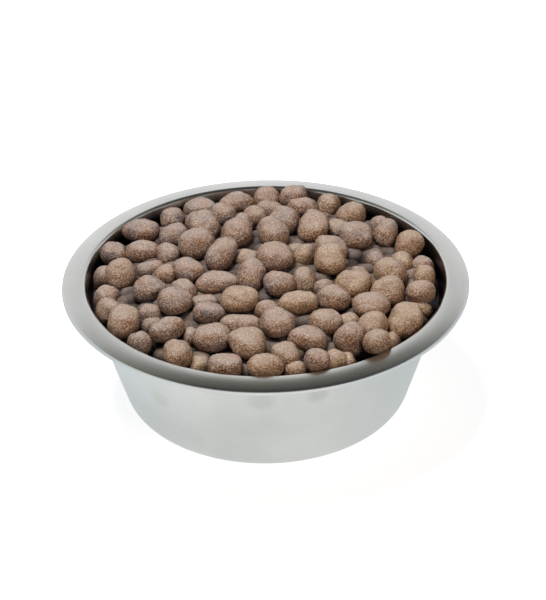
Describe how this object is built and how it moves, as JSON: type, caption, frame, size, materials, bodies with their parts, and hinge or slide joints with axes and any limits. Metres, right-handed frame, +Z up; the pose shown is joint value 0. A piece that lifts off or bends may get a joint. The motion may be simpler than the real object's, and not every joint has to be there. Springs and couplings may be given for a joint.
{
  "type": "pet bowl filled with dry kibble",
  "caption": "Round stainless steel pet bowl with a leaning wall and a rolled rim, heaped with dry brown kibble.",
  "frame": {"origin": "centre of the bowl's flat base, on the surface that it stands on", "axes": "+Z up along the bowl's axis; +Y away from the viewer of the picture; +X to the viewer's right"},
  "size_m": [0.17, 0.17, 0.0673],
  "materials": {
    "steel": "satin polished stainless steel",
    "kibble": "dusty matt, finely pitted"
  },
  "bodies": {
    "root": {"bowl": "steel", "kibble_bed": "kibble", "kibble_01": "kibble", "kibble_02": "kibble", "kibble_03": "kibble", "kibble_04": "kibble", "kibble_05": "kibble", "kibble_06": "kibble", "kibble_07": "kibble", "kibble_08": "kibble", "kibble_09": "kibble", "kibble_10": "kibble", "kibble_11": "kibble", "kibble_12": "kibble", "kibble_13": "kibble", "kibble_14": "kibble", "kibble_15": "kibble", "kibble_16": "kibble", "kibble_17": "kibble", "kibble_18": "kibble", "kibble_19": "kibble", "kibble_20": "kibble", "kibble_21": "kibble", "kibble_22": "kibble", "kibble_23": "kibble", "kibble_24": "kibble", "kibble_25": "kibble", "kibble_26": "kibble", "kibble_27": "kibble", "kibble_28": "kibble", "kibble_29": "kibble", "kibble_30": "kibble", "kibble_31": "kibble", "kibble_32": "kibble", "kibble_33": "kibble", "kibble_34": "kibble", "kibble_35": "kibble", "kibble_36": "kibble", "kibble_37": "kibble", "kibble_38": "kibble", "kibble_39": "kibble", "kibble_40": "kibble", "kibble_41": "kibble", "kibble_42": "kibble", "kibble_43": "kibble", "kibble_44": "kibble", "kibble_45": "kibble", "kibble_46": "kibble", "kibble_47": "kibble", "kibble_48": "kibble", "kibble_49": "kibble", "kibble_50": "kibble", "kibble_51": "kibble", "kibble_52": "kibble", "kibble_53": "kibble", "kibble_54": "kibble", "kibble_55": "kibble", "kibble_56": "kibble", "kibble_57": "kibble", "kibble_58": "kibble"}
  },
  "joints": []
}
